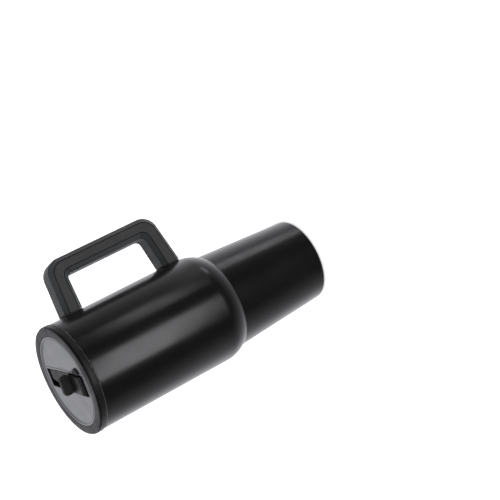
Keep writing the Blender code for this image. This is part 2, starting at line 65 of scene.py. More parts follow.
# Cup body
LID_FACE_Z = 258.5
BODY_R = 50.6
SHELL_WALL = 0.8
VACUUM = 3.2            # the evacuated space between shell and liner
LINER_WALL = 0.7
SHELL_TOP = 250.4
RIM_TOP = 251.1
LINER_TOP = RIM_TOP - 2.5
RIM_LOW = 246.0         # lower end of the rim's spigot, which fills the space between the walls
SHOULDER_Z = 115.2
SHOULDER_R = 30.0
STEP_R = 44.8           # the step between the wide upper body and the tapered base
STEP_Z = 97.5
WAIST_ROUND = 4.0
BASE_R = 38.95
BASE_ROUND = 3.0
BASE_LIFT = 0.4         # the shell hangs this far above the ground; the foot pad stands on it
BASE_LIP_R = 33.6
LINER_FLOOR = 5.6
LINER_ROUND = 6.0
LINER_OUT = BODY_R - SHELL_WALL - VACUUM
LINER_IN = LINER_OUT - LINER_WALL
CAP_RISE = 1.9
FOOT_RING_PITCH = 2.2
FOOT_RING_DEPTH = 0.35
FOOT_PLAIN_R = 14.0     # the foot's grip rings stop outside this radius

# Handle: a U of two legs and a grip. A pair of offsets is the distance outwards from the U's middle
# line, on the grip and at the legs' roots.
HANDLE_W = 24.0
CHAMFER = 4.2
GRIP_X = 90.8
LEG_X = 50.0
LOWER_LEG_Z = 121.5
UPPER_LEG_Z = 224.7
LEG_SLOPE = 0.082
LEG_START_X = 42.0      # inside the cup; the legs are then cut to its wall
CORNER_R = 9.75
CORNER_GROWTH = 0.576   # how much wider a corner's arc is for each millimetre further out
SEAM_IN = (-4.1, -4.3)
SEAM_OUT = (4.1, 5.3)
FACE_IN = (-8.3, -8.6)
FACE_OUT = (8.3, 9.5)
PAD_T = 0.5
LEG_R = BODY_R + GAP + PAD_T + GAP
SEAM_W = 0.6

# Lid, in the lid frame
LID_ANGLE = math.radians(-111.3)
LID_R = 50.3
BAND_R = 51.2
FLANGE_Z = RIM_TOP + GAP - LID_FACE_Z
SKIRT_R = 45.0
SKIRT_IN = 43.0
SKIRT_Z = -24.6
RING_IN = 42.7
DISC_R = RING_IN - GAP
DISC_Z = -0.7
DISC_T = 1.8
DISC_BASE = DISC_Z - DISC_T
LEDGE_IN = 40.8
GROOVE_R = 43.9
GROOVE_H = 3.2
GROOVES = {"gasket_upper": -12.5, "gasket_lower": -18.5}
LEDGE_Z = -4.6          # underside of the ledge that carries the face
SLOT_LEFT = -34.5
SLOT_RIGHT = 36.0
SLOT_HALF_LEFT = 7.8
SLOT_HALF_RIGHT = 9.4
SLOT_CORNER = 1.6
SLOT_EASE = 1.0
LIP_W = 0.5             # the tray's thin lip that shows round the slot
BORDER_W = 1.4          # the face's raised border outside it
BORDER_H = 0.45
WELL_TOP = -2.8
WELL_WALL = 1.7
WELL_EASE = 0.4
WELL_SHELF = -7.0
WELL_FLOOR = -15.2
WELL_BASE = -16.8
WELL_DEEP_X = -13.0     # the tray is deep from here to the hinge
WELL_FLANGE = 3.4
FLOOR_TOP = -21.5
FLOOR_T = 1.8
FLOOR_BASE = FLOOR_TOP - FLOOR_T
VENT = (12.0, -18.0)
SIP = (-25.0, 1.6)
SIP_BORE_R = 5.6
SPOUT_R = 4.0

# Flip closure, in the lid frame
HINGE_X = 26.0
HINGE_Z = -5.8
BARREL_R = 8.6
PIN_R = 1.5
LEVER_EASE = 0.5
ARM_TOP = -1.3          # the flat arm that carries the tab and the stopper
ARM_BOTTOM = -4.2
ARM_END = -32.0
TAB_FRONT = 4.0
TAB_BACK = 8.0
TAB_TOP = 8.7
TAB_HALF = 9.1
TAB_SHIFT = -0.6
TAB_NECK_HALF = 7.4
TAB_CORNER = 3.4
STOPPER_R = 4.9
EAR_X = 26.4
EAR_R = 5.6
EAR_TOP = 0.7

# Steps round a circle, for large, medium and small ones
ROUND = 192
MEDIUM = 96
SMALL = 48

# Camera: where it stands and its three axes
CAMERA_PLACE = (-75.8, -1225.1, 692.7)
CAMERA_RIGHT = Vector((-0.49121, -0.37630, -0.78556))
CAMERA_UP = Vector((0.86779, -0.28923, -0.40409))
CAMERA_FORWARD = Vector((0.07515, 0.88019, -0.46862))
CAMERA_LENS = 108.0
CAMERA_SENSOR = 36.0

# Studio: the lights' distance and aim, in metres, and the brightest part that shows in reflections
LIGHT_DISTANCE = 3.0
LIGHT_AIM = Vector((0, 0, 0.16))
BACKDROP = 1.25


# ---------------------------------------------------------------- outlines

def arc(x, y, radius, start, end, count):
    """Points along an arc about (x, y), from start to end degrees, both included."""
    angles = [math.radians(start + (end - start) * i / count) for i in range(count + 1)]
    return [(x + radius * math.cos(a), y + radius * math.sin(a)) for a in angles]


def rounded(corners, radius, count=4, closed=True):
    """The outline with each corner replaced by a tangent arc, smaller where an edge is short."""
    points = []
    last = len(corners) - 1
    for i, corner in enumerate(corners):
        here = Vector(corner)
        if not closed and i in (0, last):
            points.append(tuple(here))
            continue
        back = Vector(corners[i - 1]) - here
        ahead = Vector(corners[(i + 1) % len(corners)]) - here
        angle = back.angle(ahead)
        if angle > math.radians(170):
            points.append(tuple(here))
            continue
        reach = min(radius / math.tan(angle / 2), back.length * 0.45, ahead.length * 0.45)
        fillet = reach * math.tan(angle / 2)
        middle = here + (back.normalized() + ahead.normalized()).normalized() * fillet / math.sin(angle / 2)
        first = here + back.normalized() * reach - middle
        sweep = first.angle_signed(here + ahead.normalized() * reach - middle)
        for k in range(count + 1):
            turn = Matrix.Rotation(-sweep * k / count, 2)
            points.append(tuple(middle + turn @ first))
    return points


def base_radius(z):
    """Outer radius of the tapered base at height z."""
    return BASE_R + (STEP_R - BASE_R) * z / STEP_Z


def shoulder(inset, count=20):
    """The rounded shoulder from the upper cylinder to the step, inset from the outer surface."""
    centre, radius = BODY_R - SHOULDER_R, SHOULDER_R - inset
    end = math.degrees(math.acos((STEP_R - inset - centre) / radius))
    return arc(centre, SHOULDER_Z, radius, 0, -end, count)


def foot_round(inset, z, radius, count=10):
    """The rounded edge under the base: an arc that ends on the height z."""
    return arc(base_radius(z + radius) - inset - radius, z + radius, radius, 0, -90, count)


def slot_half(x):
    """Half-width of the lid's slot, which widens a little towards the hinge."""
    share = (x - SLOT_LEFT) / (SLOT_RIGHT - SLOT_LEFT)
    return SLOT_HALF_LEFT + (SLOT_HALF_RIGHT - SLOT_HALF_LEFT) * share


def slot_outline(grow, left=SLOT_LEFT):
    """The slot's outline, grown outwards on every side; left can start it nearer the hinge."""
    right = SLOT_RIGHT
    corners = [(left - grow, -slot_half(left) - grow), (right + grow, -slot_half(right) - grow),
               (right + grow, slot_half(right) + grow), (left - grow, slot_half(left) + grow)]
    return rounded(corners, (SLOT_CORNER + grow) * 0.8, 8)


def handle_line(offsets, count=20):
    """One line of the U in the handle's plane, from the upper leg's root to the lower one's.

    offsets is the distance outwards from the U's middle line, on the grip and at the legs' roots.
    """
    grip, root = offsets
    x = GRIP_X + grip
    splay = (root - grip) / (GRIP_X - LEG_X)
    radius = CORNER_R + CORNER_GROWTH * grip
    line = []
    for leg_z, side in ((UPPER_LEG_Z, 1), (LOWER_LEG_Z, -1)):
        slope = -side * (LEG_SLOPE + splay)
        corner_z = leg_z + side * root + slope * (x - LEG_X)
        root_z = corner_z + slope * (LEG_START_X - x)
        turn = math.degrees(math.atan(LEG_SLOPE + splay))
        reach = radius * math.tan(math.radians(90 - turn) / 2)
        bend = arc(x - radius, corner_z - side * reach, radius, side * (90 - turn), 0, count)
        leg = [(LEG_START_X, root_z)] + bend
        line += leg if side > 0 else leg[::-1]
    return line


# ---------------------------------------------------------------- making pieces

def in_lid(x=0.0, y=0.0, z=0.0):
    """A place in the lid frame as a matrix in the row frame."""
    lid = Matrix.Translation((0, 0, LID_FACE_Z * MM)) @ Matrix.Rotation(LID_ANGLE, 4, "Z")
    return lid @ Matrix.Translation((x * MM, y * MM, z * MM))


def across_hinge():
    """The hinge as a matrix: its x is the lid's x, its y is the lid's z, its z is the lid's -y."""
    return in_lid(HINGE_X, 0, HINGE_Z) @ Matrix.Rotation(math.pi / 2, 4, "X")


def collection(name):
    """A new collection in the scene."""
    group = bpy.data.collections.new(name)
    bpy.context.scene.collection.children.link(group)
    return group


def put(name, mesh, material, matrix=None):
    """Link a mesh as a visible piece, or as a hidden cutter when material is None."""
    obj = bpy.data.objects.new(name, mesh)
    if material is None:
        cutters.objects.link(obj)
        obj.hide_render = True
        obj.hide_viewport = True
    else:
        visible.objects.link(obj)
        mesh.materials.append(material)
    if matrix is not None:
        mesh.transform(matrix)
    return obj


def to_mesh(shape, name):
    """A mesh made from a bmesh, which is then given back."""
    mesh = bpy.data.meshes.new(name)
    shape.to_mesh(mesh)
    shape.free()
    return mesh


def smooth(mesh, degrees=30):
    """Shade smooth, except across edges that turn by more than the angle."""
    mesh.shade_smooth()
    mesh.set_sharp_from_angle(angle=math.radians(degrees))


def turned(name, outline, material, matrix=None, steps=ROUND, solid=False):
    """A turned piece: a closed outline, or with solid an outline whose two ends are on the axis."""
    shape = bmesh.new()
    verts = [shape.verts.new((r * MM, 0, z * MM)) for r, z in outline]
    ends = verts[1:] if solid else verts[1:] + verts[:1]
    edges = [shape.edges.new(pair) for pair in zip(verts, ends)]
    bmesh.ops.spin(shape, geom=verts + edges, cent=(0, 0, 0), axis=(0, 0, 1), angle=2 * math.pi,
                   steps=steps, use_merge=True)
    bmesh.ops.remove_doubles(shape, verts=shape.verts, dist=MERGE)
    bmesh.ops.recalc_face_normals(shape, faces=shape.faces)
    mesh = to_mesh(shape, name)
    smooth(mesh)
    return put(name, mesh, material, matrix)


def prism(name, outline, low, high, material, matrix=None):
    """A flat outline in its own x and y, thick from low to high along its own z."""
    shape = bmesh.new()
    rings = [[shape.verts.new((x * MM, y * MM, z * MM)) for x, y in outline] for z in (low, high)]
    count = len(outline)
    for i in range(count):
        j = (i + 1) % count
        shape.faces.new((rings[0][i], rings[0][j], rings[1][j], rings[1][i]))
    shape.faces.new(rings[0][::-1])
    shape.faces.new(rings[1])
    bmesh.ops.recalc_face_normals(shape, faces=shape.faces)
    return put(name, to_mesh(shape, name), material, matrix)


def cutter(name, radius, matrix=None, low=-CUT_REACH, high=CUT_REACH, steps=SMALL):
    """A hidden round cutter along its own z, right through unless told how far."""
    return prism(name, arc(0, 0, radius, 0, 360 - 360 / steps, steps - 1), low, high, None, matrix)


def combine(obj, tool, operation="DIFFERENCE"):
    """Cut the tool's shape out of the piece, or join or intersect the two."""
    boolean = obj.modifiers.new(tool.name, "BOOLEAN")
    boolean.operation = operation
    boolean.solver = "EXACT"
    boolean.object = tool


def soften(obj, width, segments, degrees=35):
    """Round the edges that turn by more than the angle."""
    bevel = obj.modifiers.new("soften", "BEVEL")
    bevel.width = width * MM
    bevel.segments = segments
    bevel.limit_method = "ANGLE"
    bevel.angle_limit = math.radians(degrees)
    bevel.use_clamp_overlap = True
    bevel.miter_outer = "MITER_ARC"


def settle(obj, degrees=30):
    """Apply the modifiers, so that the piece is one plain mesh, and shade it evenly."""
    bpy.context.view_layer.update()
    graph = bpy.context.evaluated_depsgraph_get()
    mesh = bpy.data.meshes.new_from_object(obj.evaluated_get(graph))
    shape = bmesh.new()
    shape.from_mesh(mesh)
    bmesh.ops.remove_doubles(shape, verts=shape.verts, dist=MERGE)
    bmesh.ops.dissolve_degenerate(shape, edges=shape.edges, dist=MERGE)
    shape.to_mesh(mesh)
    shape.free()
    obj.modifiers.clear()
    obj.data = mesh
    smooth(mesh, degrees)
    even = obj.modifiers.new("even_normals", "WEIGHTED_NORMAL")
    even.keep_sharp = True
    return obj


def stands_for(obj, body, slot, *nodes):
    """The piece rides on a body and hides the CAD nodes it stands for; slot, its finish's name, is not
    used.
    """
    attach(obj, body)
    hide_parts(*nodes)


# ---------------------------------------------------------------- materials

def colour_socket(sockets, identifier):
    """The colour socket of a mix node, whose three kinds of socket share their names."""
    return next(socket for socket in sockets if socket.identifier == identifier)


class Nodes:
    """A material's node tree, with short ways to add the nodes used here."""

    def __init__(self, name, roughness, metallic=0.0):
        self.material = bpy.data.materials.new(name)
        self.material.use_nodes = True
        self.tree = self.material.node_tree
        self.shader = self.tree.nodes["Principled BSDF"]
        self.set("Roughness", roughness)
        self.set("Metallic", metallic)
        self.place = self.tree.nodes.new("ShaderNodeTexCoord").outputs["Object"]

    def set(self, socket, value):
        """Give one of the shader's inputs a plain value."""
        self.shader.inputs[socket].default_value = value

    def link(self, output, socket):
        """Feed one of the shader's inputs from another node."""
        self.tree.links.new(output, self.shader.inputs[socket])

    def noise(self, scale, detail=2.0, stretch=None, roughness=0.5):
        """Noise over the object; stretch scales its three axes, such as for brushed lines."""
        node = self.tree.nodes.new("ShaderNodeTexNoise")
        node.inputs["Scale"].default_value = scale
        node.inputs["Detail"].default_value = detail
        node.inputs["Roughness"].default_value = roughness
        place = self.place
        if stretch:
            mapping = self.tree.nodes.new("ShaderNodeMapping")
            mapping.inputs["Scale"].default_value = stretch
            self.tree.links.new(place, mapping.inputs["Vector"])
            place = mapping.outputs["Vector"]
        self.tree.links.new(place, node.inputs["Vector"])
        return node.outputs["Fac"]

    def ranged(self, source, low, high, to_low, to_high):
        """The source's range from low to high, stretched over another range."""
        node = self.tree.nodes.new("ShaderNodeMapRange")
        for name, value in zip(("From Min", "From Max", "To Min", "To Max"), (low, high, to_low, to_high)):
            node.inputs[name].default_value = value
        self.tree.links.new(source, node.inputs["Value"])
        return node.outputs["Result"]

    def blend(self, factor, first, second):
        """A mix of two colours, each a plain one or another node's output."""
        node = self.tree.nodes.new("ShaderNodeMix")
        node.data_type = "RGBA"
        for name, value in (("A_Color", first), ("B_Color", second)):
            socket = colour_socket(node.inputs, name)
            if isinstance(value, tuple):
                socket.default_value = (*value, 1.0)
            else:
                self.tree.links.new(value, socket)
        self.tree.links.new(factor, node.inputs["Factor"])
        return colour_socket(node.outputs, "Result_Color")

    def maths(self, operation, first, second):
        """Arithmetic on two values, each a number or another node's output."""
        node = self.tree.nodes.new("ShaderNodeMath")
        node.operation = operation
        for socket, value in zip(node.inputs, (first, second)):
            if isinstance(value, float):
                socket.default_value = value
            else:
                self.tree.links.new(value, socket)
        return node.outputs["Value"]

    def edges(self):
        """1 along the outward edges, where a finish wears, and 0 elsewhere."""
        node = self.tree.nodes.new("ShaderNodeNewGeometry")
        return self.ranged(node.outputs["Pointiness"], 0.52, 0.60, 0.0, 1.0)

    def bump(self, height, strength, distance):
        """Relief on the surface; distance is its depth in millimetres."""
        node = self.tree.nodes.new("ShaderNodeBump")
        node.inputs["Strength"].default_value = strength
        node.inputs["Distance"].default_value = distance * MM
        self.tree.links.new(height, node.inputs["Height"])
        self.link(node.outputs["Normal"], "Normal")


def powder_coat():
    """Black powder coat: deep black, a soft gloss, an orange-peel skin and faint handling marks."""
    n = Nodes("body_coat", 0.23)
    speck = n.ranged(n.noise(2600, 1.0), 0.62, 0.72, 0.0, 1.0)
    n.link(n.blend(speck, (0.0018, 0.0018, 0.0019), (0.005, 0.005, 0.0055)), "Base Color")
    smear = n.ranged(n.noise(38, 3.0), 0.35, 0.7, 0.21, 0.26)
    n.link(smear, "Roughness")
    peel = n.maths("ADD", n.noise(700, 2.0), n.maths("MULTIPLY", n.noise(2400, 1.0), 0.5))
    n.bump(peel, 0.06, 0.02)
    return n.material


def turned_steel(name, colour, roughness, line_scale):
    """Stainless steel with fine lines that run round the axis, as a lathe or a roller leaves them."""
    n = Nodes(name, roughness, 1.0)
    lines = n.noise(line_scale, 4.0, (0.02, 0.02, 1.0), 0.7)
    cloud = n.noise(30, 3.0)
    dark = tuple(value * 0.78 for value in colour)
    n.link(n.blend(n.ranged(cloud, 0.3, 0.7, 0.0, 1.0), colour, dark), "Base Color")
    n.link(n.ranged(lines, 0.3, 0.7, roughness - 0.07, roughness + 0.10), "Roughness")
    n.set("Anisotropic", 0.5)
    n.bump(lines, 0.15, 0.02)
    return n.material


def plain_steel(name, colour, roughness):
    """Rolled or stamped steel: cloudy, with a faint grain."""
    n = Nodes(name, roughness, 1.0)
    cloud = n.noise(120, 4.0)
    dark = tuple(value * 0.7 for value in colour)
    n.link(n.blend(n.ranged(cloud, 0.35, 0.65, 0.0, 1.0), colour, dark), "Base Color")
    n.link(n.ranged(cloud, 0.3, 0.7, roughness - 0.05, roughness + 0.12), "Roughness")
    n.bump(n.noise(1800, 2.0), 0.15, 0.02)
    return n.material


def moulded(name, colour, roughness, grain=1500, depth=0.03, edge=1.5, shine=0.5):
    """Moulded plastic: a fine spark-eroded grain, slight colour drift and rubbed, lighter edges.

    grain is the texture's scale, depth its relief, edge how much lighter the rubbed edges are.
    """
    n = Nodes(name, roughness)
    drift = n.ranged(n.noise(22, 3.0), 0.3, 0.7, 0.0, 1.0)
    dark = tuple(value * 0.86 for value in colour)
    light = tuple(min(value * edge, 1.0) for value in colour)
    body = n.blend(drift, colour, dark)
    n.link(n.blend(n.edges(), body, light), "Base Color")
    n.link(n.ranged(n.noise(90, 4.0), 0.3, 0.7, roughness - 0.05, roughness + 0.07), "Roughness")
    n.bump(n.noise(grain, 2.0, roughness=0.6), 0.25, depth)
    n.set("Specular IOR Level", shine)
    return n.material


def soft_rubber(name, colour, roughness):
    """Matte rubber: a pebbled skin with a little pale bloom."""
    n = Nodes(name, roughness)
    bloom = n.ranged(n.noise(60, 5.0), 0.45, 0.75, 0.0, 1.0)
    pale = tuple(value * 1.9 + 0.004 for value in colour)
    n.link(n.blend(bloom, colour, pale), "Base Color")
    n.link(n.ranged(n.noise(400, 2.0), 0.3, 0.7, roughness - 0.06, roughness + 0.06), "Roughness")
    n.bump(n.noise(2200, 1.0), 0.3, 0.03)
    return n.material


def smoky_plastic():
    """The lid's face: satin smoke-grey plastic with a clouded depth and rubbed patches."""
    n = Nodes("lid_grey", 0.34)
    cloud = n.ranged(n.noise(55, 5.0, roughness=0.6), 0.3, 0.72, 0.0, 1.0)
    n.link(n.blend(cloud, (0.088, 0.090, 0.098), (0.124, 0.126, 0.136)), "Base Color")
    n.link(n.ranged(n.noise(90, 3.0), 0.3, 0.7, 0.31, 0.38), "Roughness")
    n.set("Coat Weight", 0.15)
    n.set("Coat Roughness", 0.12)
    n.bump(n.noise(1400, 2.0), 0.12, 0.02)
    return n.material


def silicone():
    """Food-grade silicone: grey, slightly translucent, with a dusty matte skin."""
    n = Nodes("silicone", 0.5)
    cloud = n.ranged(n.noise(80, 4.0), 0.3, 0.7, 0.0, 1.0)
    n.link(n.blend(cloud, (0.30, 0.30, 0.30), (0.24, 0.24, 0.245)), "Base Color")
    n.set("Subsurface Weight", 0.15)
    n.set("Subsurface Scale", 0.002)
    n.link(n.ranged(n.noise(300, 3.0), 0.3, 0.7, 0.42, 0.58), "Roughness")
    n.bump(n.noise(1600, 2.0), 0.15, 0.02)
    return n.material


def make_materials():
    """Every finish, by name. Plain numbers after a colour are the roughness."""
    return {
        "body_coat": powder_coat(),
        "liner_steel": turned_steel("liner_steel", (0.62, 0.62, 0.60), 0.26, line_scale=900),
        "rim_steel": turned_steel("rim_steel", (0.56, 0.56, 0.55), 0.34, line_scale=2500),
        "hidden_steel": plain_steel("hidden_steel", (0.45, 0.45, 0.44), 0.4),
        "pin_steel": plain_steel("pin_steel", (0.62, 0.62, 0.60), 0.25),
        "foot_rubber": soft_rubber("foot_rubber", (0.016, 0.016, 0.016), 0.75),
        "handle_core": moulded("handle_core", (0.018, 0.018, 0.019), 0.52),
        "handle_skin": moulded("handle_skin", (0.026, 0.028, 0.029), 0.56, grain=1100, depth=0.05),
        "lid_black": moulded("lid_black", (0.003, 0.003, 0.0034), 0.42, grain=1600, depth=0.02,
                             edge=1.6, shine=0.3),
        "lid_grey": smoky_plastic(),
        "lever_black": moulded("lever_black", (0.004, 0.004, 0.0044), 0.42, grain=1800, depth=0.01,
                               edge=1.4, shine=0.22),
        "tab_rubber": soft_rubber("tab_rubber", (0.010, 0.010, 0.010), 0.68),
        "stopper_rubber": soft_rubber("stopper_rubber", (0.014, 0.014, 0.014), 0.6),
        "silicone": silicone(),
        "nylon": moulded("nylon", (0.52, 0.51, 0.47), 0.45, depth=0.02, edge=1.1),
    }


# ---------------------------------------------------------------- cup

def cup_shell():
    """The coated outer wall: mouth edge, shoulder, waist, tapered base and the lip round the foot."""
    edge = 0.25
    heel = foot_round(0, BASE_LIFT, BASE_ROUND)
    outside = arc(BODY_R - edge, SHELL_TOP - edge, edge, 90, 0, 4) + shoulder(0)
    waist = rounded([outside[-5], outside[-1], heel[0]], WAIST_ROUND, 8, closed=False)[1:-1]
    outside = outside[:-4] + waist + heel
    inside = [(BODY_R - SHELL_WALL, SHELL_TOP)] + shoulder(SHELL_WALL)
    inside += foot_round(SHELL_WALL, BASE_LIFT + SHELL_WALL, BASE_ROUND - SHELL_WALL)
    lip = rounded([heel[-1], (BASE_LIP_R, BASE_LIFT), (BASE_LIP_R, BASE_LIFT + SHELL_WALL), inside[-1]],
                  0.3, 3, closed=False)[1:-1]
    shell = turned("cup_shell", outside + lip + inside[::-1], materials["body_coat"])
    stands_for(shell, "cup", "body_coat", "outer_shell")


def liner_side(inset, floor_z, corner):
    """One side of the liner's wall, from the top down and in along its floor to the axis."""
    side = [(BODY_R - inset, LINER_TOP)] + shoulder(inset)
    return side + foot_round(inset, floor_z, corner) + [(0, floor_z)]


def cup_liner():
    """The bare steel inner wall, which follows the shell at one distance."""
    inset = BODY_R - LINER_OUT
    outside = liner_side(inset, LINER_FLOOR, LINER_ROUND)
    inside = liner_side(inset + LINER_WALL, LINER_FLOOR + LINER_WALL, LINER_ROUND - LINER_WALL)
    liner = turned("cup_liner", inside[::-1] + outside, materials["liner_steel"], solid=True)
    stands_for(liner, "cup", "liner_steel", "inner_liner")


def cup_rim():
    """The bare steel ring that closes the two walls at the mouth."""
    edge, outside = 0.22, BODY_R - 0.1
    spigot_out, spigot_in = BODY_R - SHELL_WALL - GAP, LINER_OUT + GAP
    corners = [(outside, RIM_TOP), (outside, SHELL_TOP + GAP), (spigot_out, SHELL_TOP + GAP),
               (spigot_out, RIM_LOW), (spigot_in, RIM_LOW), (spigot_in, LINER_TOP + GAP),
               (LINER_IN, LINER_TOP + GAP), (LINER_IN, RIM_TOP)]
    rim = turned("cup_rim", rounded(corners, edge, 4), materials["rim_steel"])
    stands_for(rim, "cup", "rim_steel", "rim_ring")


def base_plate():
    """The pressed cap under the shell, raised in the middle, with the hole that was sealed."""
    low, edge, hole = BASE_LIFT + GAP, BASE_LIP_R - GAP, 1.3
    high = low + SHELL_WALL
    corners = [(edge, high), (edge, low), (edge - 2.0, low), (edge - 4.0, low + CAP_RISE),
               (hole, low + CAP_RISE), (hole, high + CAP_RISE), (edge - 4.4, high + CAP_RISE),
               (edge - 2.4, high)]
    cap = turned("base_plate", rounded(corners, 0.4, 3), materials["body_coat"], steps=MEDIUM)
    stands_for(cap, "cup", "body_coat", "base_cap")


def foot():
    """The rubber foot pad, with fine grip rings underneath round a shallow recess."""
    edge, pocket = BASE_LIP_R - 2 * GAP, 6.0
    crown = BASE_LIFT + CAP_RISE
    outline = [(0, 1.0), (pocket, 1.0), (pocket, crown), (edge - 4.0, crown),
               (edge - 2.0, BASE_LIFT), (edge, BASE_LIFT), (edge, 0.2), (edge - 0.2, 0)]
    ring = edge - 1.6
    while ring > FOOT_PLAIN_R:
        outline += [(ring, 0), (ring - 0.25, FOOT_RING_DEPTH), (ring - 0.75, FOOT_RING_DEPTH),
                    (ring - 1.0, 0)]
        ring -= FOOT_RING_PITCH
    outline += [(12.4, 0), (12.0, 0.5), (0, 0.5)]
    pad = turned("foot", outline, materials["foot_rubber"], steps=MEDIUM, solid=True)
    stands_for(pad, "cup", "foot_rubber", "foot_pad")


# ---------------------------------------------------------------- handle

def handle_layer(name, near, far, half_near, half_far, material, edge):
    """One layer of the handle: a loft along the U between two of its lines, given as offsets.

    Its half-width goes from half_near to half_far; its legs are cut to the cup and its edges rounded.
    """
    shape = bmesh.new()
    sections = []
    for (x0, z0), (x1, z1) in zip(handle_line(near), handle_line(far)):
        corners = [(x0, -half_near, z0), (x0, half_near, z0), (x1, half_far, z1), (x1, -half_far, z1)]
        sections.append([shape.verts.new([value * MM for value in corner]) for corner in corners])
    for here, there in zip(sections, sections[1:]):
        for k in range(4):
            shape.faces.new((here[k], here[(k + 1) % 4], there[(k + 1) % 4], there[k]))
    shape.faces.new(sections[0][::-1])
    shape.faces.new(sections[-1])
    bmesh.ops.recalc_face_normals(shape, faces=shape.faces)
    layer = put(name, to_mesh(shape, name), material)
    combine(layer, saddle)
    soften(layer, edge, 4, 20)
    return settle(layer, 28)


def shifted(offsets, by):
    """A pair of offsets moved outwards by the same distance."""
    return tuple(offset + by for offset in offsets)


def handle():
    """The handle's core between its two chamfered skins, with a fine seam on both sides of it."""
    half, face = HANDLE_W / 2, HANDLE_W / 2 - CHAMFER
    ease = SEAM_W / 2
    core = handle_layer("handle_frame", shifted(SEAM_IN, ease), shifted(SEAM_OUT, -ease), half, half,
                        materials["handle_core"], 0.4)
    inner = handle_layer("handle_finger_side", shifted(SEAM_IN, -ease), FACE_IN, half, face,
                         materials["handle_skin"], 0.6)
    outer = handle_layer("handle_palm_side", shifted(SEAM_OUT, ease), FACE_OUT, half, face,
                         materials["handle_skin"], 0.6)
    stands_for(core, "cup", "handle_core", "handle_core")
    stands_for(inner, "cup", "handle_skin", "handle_inner")
    stands_for(outer, "cup", "handle_skin", "handle_outer")


# ---------------------------------------------------------------- lid

def lid_collar():
    """The lid's rim, the proud band that rests on the cup and the skirt with its two seal grooves."""
    notch, top_round, low_round, skirt_round, sill_w = -1.2, 0.9, 0.6, 0.8, 1.4
    edge = [(RING_IN, -2.0), (RING_IN, 0), (LID_R, 0), (LID_R, -0.8), (LID_R - 0.35, -0.85),
            (LID_R - 0.35, notch), (BAND_R - top_round, notch)]
    outline = rounded(edge, 0.3, 4, closed=False)[1:-1]
    outline += arc(BAND_R - top_round, notch - top_round, top_round, 90, 0, 8)
    outline += arc(BAND_R - low_round, FLANGE_Z + low_round, low_round, 0, -90, 6)
    outline.append((SKIRT_R, FLANGE_Z))
    for middle in GROOVES.values():
        high, low = middle + GROOVE_H / 2, middle - GROOVE_H / 2
        outline += [(SKIRT_R, high), (GROOVE_R, high), (GROOVE_R, low), (SKIRT_R, low)]
    outline += arc(SKIRT_R - skirt_round, SKIRT_Z + skirt_round, skirt_round, 0, -90, 5)
    sill, seat = FLOOR_BASE - GAP, DISC_BASE - GAP
    outline += [(SKIRT_IN - sill_w, SKIRT_Z), (SKIRT_IN - sill_w, sill), (SKIRT_IN, sill),
                (SKIRT_IN, LEDGE_Z), (LEDGE_IN, LEDGE_Z), (LEDGE_IN, seat), (RING_IN, seat)]
    collar = turned("lid_collar", outline, materials["lid_black"], in_lid())
    stands_for(collar, "lid", "lid_black", "lid_ring")


def lid_face():
    """The grey disc: a flat middle, a raised edge with a fine ring in it, and the bordered slot."""
    step, rim, groove_z = DISC_R - 3.6, DISC_R - 1.45, -0.6
    corners = [(0, DISC_Z), (step, DISC_Z), (step + 1.1, -0.1), (step + 1.3, groove_z),
               (rim - 0.25, groove_z), (rim, 0), (DISC_R, 0), (DISC_R, DISC_BASE), (0, DISC_BASE)]
    face = turned("lid_face", rounded(corners, 0.22, 4, closed=False), materials["lid_grey"], in_lid(),
                  solid=True)
    border = prism("border_tool", slot_outline(SLOT_EASE + BORDER_W), DISC_BASE + 0.5, DISC_Z + BORDER_H,
                   None, in_lid())
    slot = prism("slot_tool", slot_outline(SLOT_EASE), -CUT_REACH, CUT_REACH, None, in_lid())
    ear = cutter("ear_tool", EAR_R + GAP, in_lid(EAR_X, slot_half(EAR_X) + SLOT_EASE), steps=MEDIUM)
    combine(face, border, "UNION")
    combine(face, slot)
    combine(face, ear)
    soften(face, 0.16, 3, 50)
    settle(face)
    stands_for(face, "lid", "lid_grey", "lid_disc")


def slot_tray():
    """The black tray that lines the slot: a shelf with the sip bore, and a deep part for the barrel."""
    flange_t = 1.4
    tray = prism("slot_tray", slot_outline(WELL_EASE + WELL_WALL), WELL_BASE, WELL_TOP - flange_t / 2,
                 materials["lid_black"], in_lid())
    flange = prism("flange_tool", slot_outline(WELL_FLANGE), WELL_TOP - flange_t, WELL_TOP, None, in_lid())
    lip = prism("lip_tool", slot_outline(WELL_EASE + LIP_W), WELL_TOP - 0.5, DISC_Z - 0.25, None, in_lid())
    limit = cutter("tray_limit", LEDGE_IN - 2 * GAP, in_lid(), steps=MEDIUM)
    shallow = prism("shelf_tool", slot_outline(WELL_EASE), WELL_SHELF, CUT_REACH, None, in_lid())
    deep = prism("deep_tool", slot_outline(WELL_EASE, left=WELL_DEEP_X), WELL_FLOOR, CUT_REACH, None,
                 in_lid())
    bore = cutter("sip_tool", SIP_BORE_R, in_lid(*SIP))
    pin_bore = cutter("pin_bore_tool", PIN_R + 0.05, across_hinge())
    vent = cutter("vent_tool", 1.2, in_lid(4.0, 0))
    combine(tray, flange, "UNION")
    combine(tray, lip, "UNION")
    combine(tray, limit, "INTERSECT")
    for tool in (shallow, deep, bore, pin_bore, vent):
        combine(tray, tool)
    soften(tray, 0.2, 2, 50)
    settle(tray)
    stands_for(tray, "lid", "lid_black", "slot_well")


